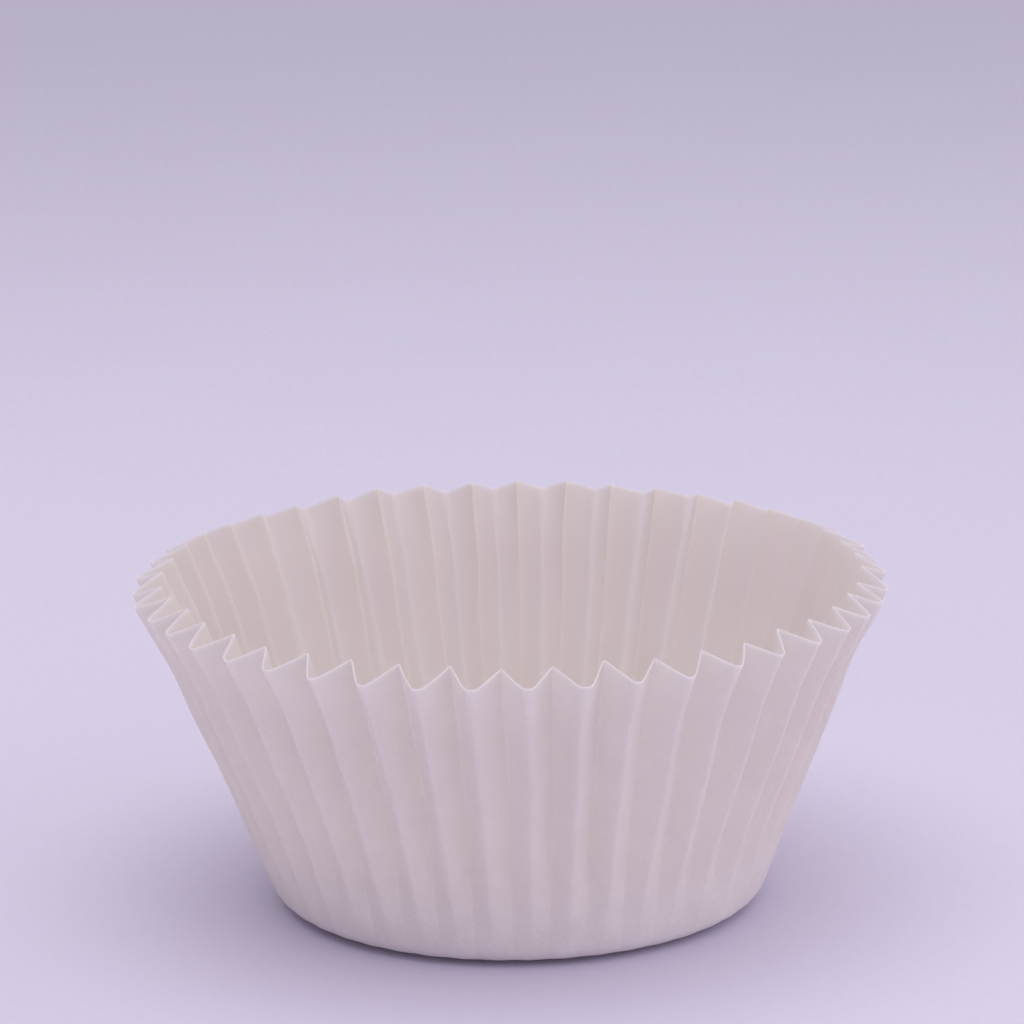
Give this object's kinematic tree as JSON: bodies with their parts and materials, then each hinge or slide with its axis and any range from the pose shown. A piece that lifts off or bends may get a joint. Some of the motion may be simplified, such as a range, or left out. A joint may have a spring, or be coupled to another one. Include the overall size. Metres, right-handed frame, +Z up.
{
  "type": "cupcake liner",
  "caption": "Pleated paper baking cup with a flat round floor and a flared wall of fine folds, open at the top to hold one small cake.",
  "frame": {"origin": "centre of the underside, on the surface that the cup stands on", "axes": "+Z up through the open mouth; +X and -Y each pass through the top of an outer fold; all four sides are alike"},
  "size_m": [0.0826, 0.0826, 0.0362],
  "materials": {
    "paper": "matt white greaseproof paper"
  },
  "bodies": {
    "root": {"liner": "paper"}
  },
  "joints": []
}
